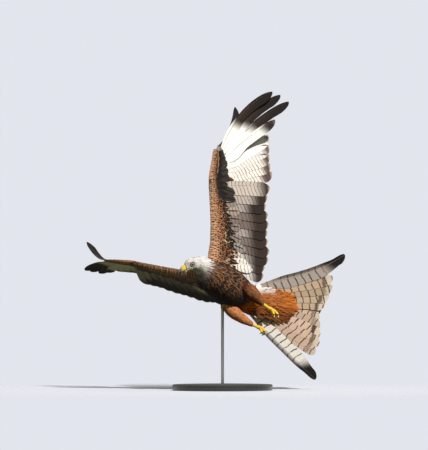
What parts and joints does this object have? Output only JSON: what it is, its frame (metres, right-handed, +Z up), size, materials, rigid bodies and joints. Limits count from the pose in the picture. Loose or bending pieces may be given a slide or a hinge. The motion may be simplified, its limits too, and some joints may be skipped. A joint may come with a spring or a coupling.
{
  "type": "red kite, still flying bird model on a display stand",
  "caption": "Life-size still model of a red kite banking in flight, wings raised and forked tail fanned, held by a rod on a round base.",
  "frame": {"origin": "middle of the round base's underside", "axes": "+Z up; the picture looks along +Y with +X to its right"},
  "size_m": [0.8948, 0.6657, 1.017],
  "materials": {
    "plumage_pale": "matte, whitish grey with fine dark shaft streaks",
    "plumage_rufous": "matte rufous with dark feather centres and pale edges",
    "plumage_thigh": "matte, plain bright rufous",
    "wing_feather": "satin, barred flight feathers with a white window and black finger tips",
    "tail_feather": "satin, pale rufous with thin dark bars",
    "cere": "smooth yellow skin",
    "foot": "scaled yellow skin with black claws",
    "bill": "polished dark horn, paler at its base",
    "eye": "clear gloss over a pale iris and black pupil",
    "stand_base": "satin black lacquer",
    "stand_rod": "brushed"
  },
  "bodies": {
    "root": {"head": "plumage_pale", "neck": "plumage_pale", "cere": "cere", "bill_upper": "bill", "bill_lower": "bill", "eye_left": "eye", "eye_right": "eye", "torso": "plumage_rufous", "wing_left": "wing_feather", "wing_right": "wing_feather", "tail": "tail_feather", "thigh_left": "plumage_thigh", "thigh_right": "plumage_thigh", "foot_left": "foot", "foot_right": "foot", "stand_base": "stand_base", "stand_rod": "stand_rod"}
  },
  "joints": []
}
